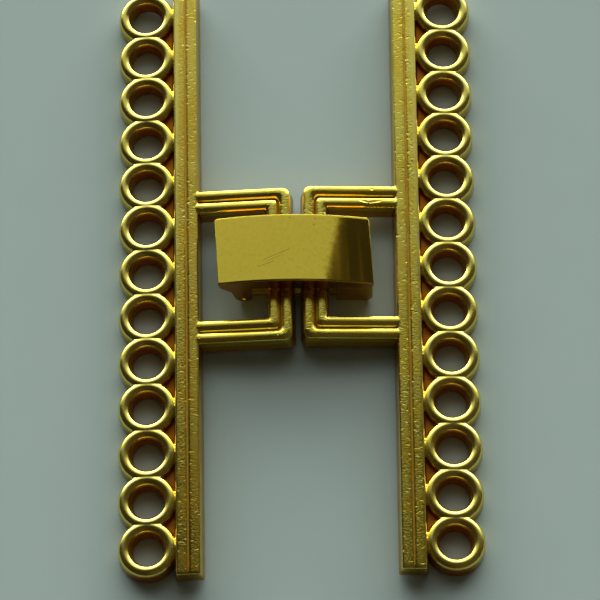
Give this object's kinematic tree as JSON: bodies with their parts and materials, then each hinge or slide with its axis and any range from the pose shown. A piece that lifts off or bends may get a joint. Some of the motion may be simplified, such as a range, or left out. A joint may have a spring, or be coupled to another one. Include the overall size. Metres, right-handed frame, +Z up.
{
  "type": "multi-strand clasp",
  "caption": "Multi-strand clasp with ribbed end bars, rows of round strand rings and rectangular frames, held together by an arched fold-over clasp.",
  "frame": {"origin": "centre of the whole clasp's footprint, on the table it lies on", "axes": "+X from the left bar to the right bar, which is the cover's opening end; +Y along the bars, away from the picture's viewer; +Z up"},
  "size_m": [0.034, 0.0596, 0.0048],
  "materials": {
    "gold_plate": "gold-plated casting, finely stippled",
    "clasp_gold": "gold plate, satin",
    "polished_gold": "polished gold plate with wear marks"
  },
  "bodies": {
    "clasp": {"clasp_base": "clasp_gold", "hinge_pin": "clasp_gold"},
    "cover": {"clasp_cover": "polished_gold"},
    "left_half": {"left_end_bar": "gold_plate"},
    "right_half": {"right_end_bar": "gold_plate"}
  },
  "joints": [
    {"name": "cover_hinge", "type": "hinge", "parent": "clasp", "child": "cover", "pos_m": [-0.005, 0.00086, 0.00085], "axis": [-0.0175, -0.9998, 0], "range_deg": [0, 85]},
    {"name": "left_bar_swing", "type": "hinge", "parent": "clasp", "child": "left_half", "pos_m": [-0.00162, 0.00005, 0.00173], "axis": [-0.0087, 1, 0], "range_deg": [-9, 14]},
    {"name": "right_bar_swing", "type": "hinge", "parent": "clasp", "child": "right_half", "pos_m": [0.00162, 0.00017, 0.00173], "axis": [-0.0087, -1, 0], "range_deg": [-9, 14]}
  ]
}
